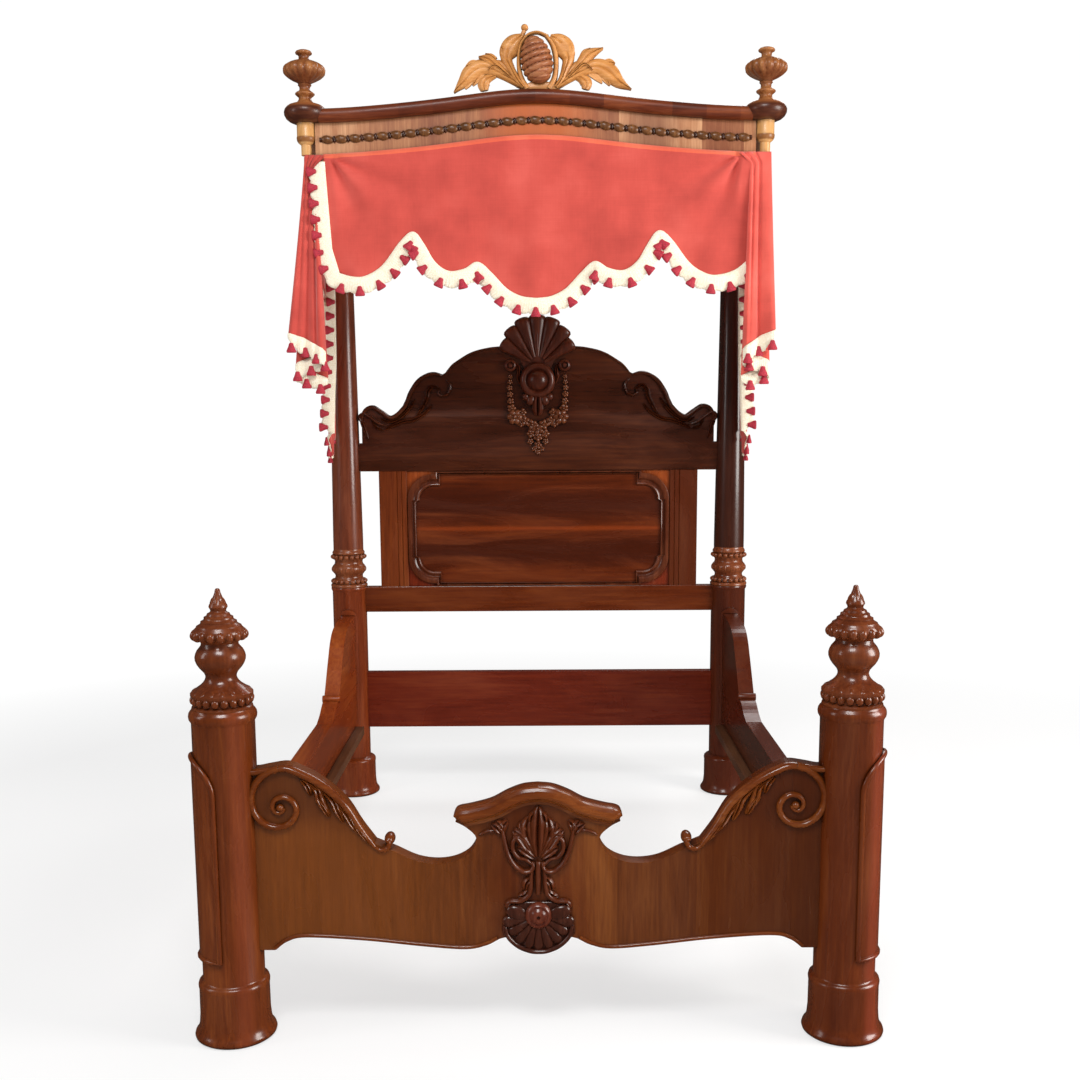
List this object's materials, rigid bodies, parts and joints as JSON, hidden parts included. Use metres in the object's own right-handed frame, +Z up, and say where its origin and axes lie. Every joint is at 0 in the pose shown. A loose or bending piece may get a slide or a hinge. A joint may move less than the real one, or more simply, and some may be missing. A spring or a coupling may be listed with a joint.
{
  "type": "half tester bedstead",
  "caption": "Carved wooden half-tester bedstead: turned foot posts, scrolled footboard, tall headboard, winged side rails and a serpentine canopy with fringed valances.",
  "frame": {"origin": "centre of the rectangle on the floor under the four posts' overall box", "axes": "+X to the right as seen from the foot, +Y from foot to head, +Z up"},
  "size_m": [1.6858, 2.196, 2.7238],
  "materials": {
    "mahogany": "french polished",
    "pale_veneer": "worn satin veneer",
    "golden_oak": "waxed carving",
    "walnut": "waxed carving",
    "plain_wood": "unfinished",
    "bed_iron": "raw",
    "coral_cloth": "matt rep weave",
    "cream_fringe": "bullion fringe"
  },
  "bodies": {
    "root": {"foot_post_left": "mahogany", "foot_post_right": "mahogany", "foot_finial_left": "mahogany", "foot_finial_right": "mahogany", "foot_post_panel_left": "mahogany", "foot_post_panel_right": "mahogany", "footboard": "mahogany", "footboard_cap": "mahogany", "footboard_scroll_left": "mahogany", "footboard_scroll_right": "mahogany", "footboard_carving": "mahogany", "footboard_roundel": "mahogany", "side_rail_left": "mahogany", "side_rail_right": "mahogany", "wing_bracket_left": "mahogany", "wing_bracket_right": "mahogany", "rail_cleat_left": "plain_wood", "rail_cleat_right": "plain_wood", "rail_hooks": "bed_iron", "hook_keepers": "bed_iron", "head_post_left": "mahogany", "head_post_right": "mahogany", "head_collar_left": "mahogany", "head_collar_right": "mahogany", "upper_post_left": "mahogany", "upper_post_right": "mahogany", "head_post_bead_left": "mahogany", "head_post_bead_right": "mahogany", "headboard_crest": "mahogany", "headboard_shell": "mahogany", "headboard_festoon": "mahogany", "headboard_stile_left": "mahogany", "headboard_stile_right": "mahogany", "headboard_panel": "mahogany", "panel_moulding": "mahogany", "headboard_bottom_rail": "mahogany", "head_cross_rail": "mahogany", "canopy_back_rail": "plain_wood", "canopy_frieze_front": "pale_veneer", "canopy_frieze_left": "pale_veneer", "canopy_frieze_right": "pale_veneer", "cornice_front": "mahogany", "cornice_left": "mahogany", "cornice_right": "mahogany", "frieze_beading": "mahogany", "canopy_ceiling": "plain_wood", "corner_block_left": "mahogany", "corner_block_right": "mahogany", "corner_finial_left": "mahogany", "corner_finial_right": "mahogany", "crest_leaves": "golden_oak", "crest_nut": "walnut", "valance_front": "coral_cloth", "valance_left": "coral_cloth", "valance_right": "coral_cloth", "front_fall_left": "coral_cloth", "front_fall_right": "coral_cloth", "fringe_front": "cream_fringe", "fringe_falls": "cream_fringe", "fringe_sides": "cream_fringe"}
  },
  "joints": []
}
